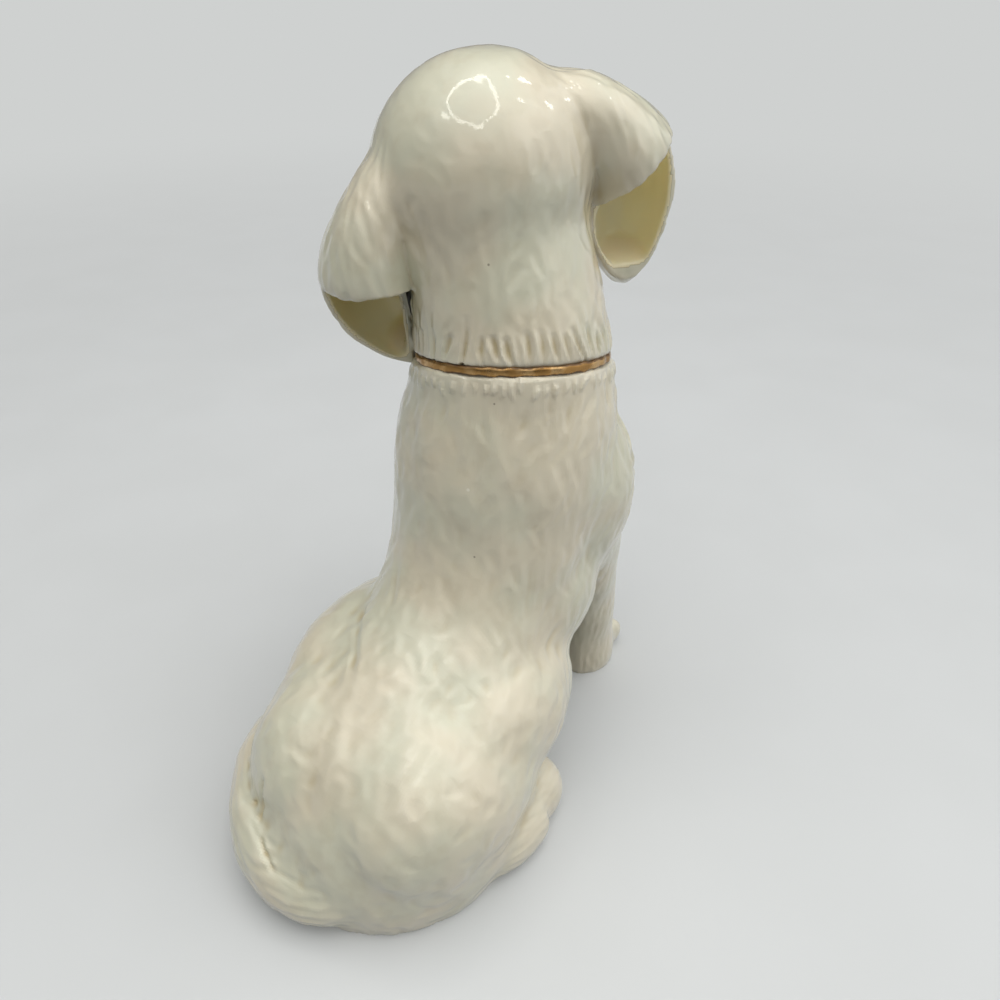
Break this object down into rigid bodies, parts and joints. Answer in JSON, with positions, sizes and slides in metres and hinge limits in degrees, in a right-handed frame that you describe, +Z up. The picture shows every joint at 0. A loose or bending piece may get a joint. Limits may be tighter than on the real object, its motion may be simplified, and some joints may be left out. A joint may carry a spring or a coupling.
{
  "type": "porcelain dog figurine",
  "caption": "Seated ivory porcelain puppy with hanging pouch ears, head turned and cocked, tail curled round one haunch, and a thin gold collar at the neck seam.",
  "frame": {"origin": "on the floor under the middle of the rump, on the body casting's flat ground foot", "axes": "+Z up, -Y the way the puppy's chest and forelegs face, +X to the puppy's left"},
  "size_m": [0.0653, 0.1068, 0.1395],
  "materials": {
    "ivory_glaze": "glossy clear glaze over ivory porcelain",
    "burnished_gold": "fired and burnished gold"
  },
  "bodies": {
    "root": {"body_casting": "ivory_glaze", "head_casting": "ivory_glaze", "gold_collar": "burnished_gold", "left_ear": "ivory_glaze", "right_ear": "ivory_glaze", "left_foreleg": "ivory_glaze", "right_foreleg": "ivory_glaze", "left_hind_foot": "ivory_glaze", "right_hind_foot": "ivory_glaze", "tail": "ivory_glaze"}
  },
  "joints": []
}
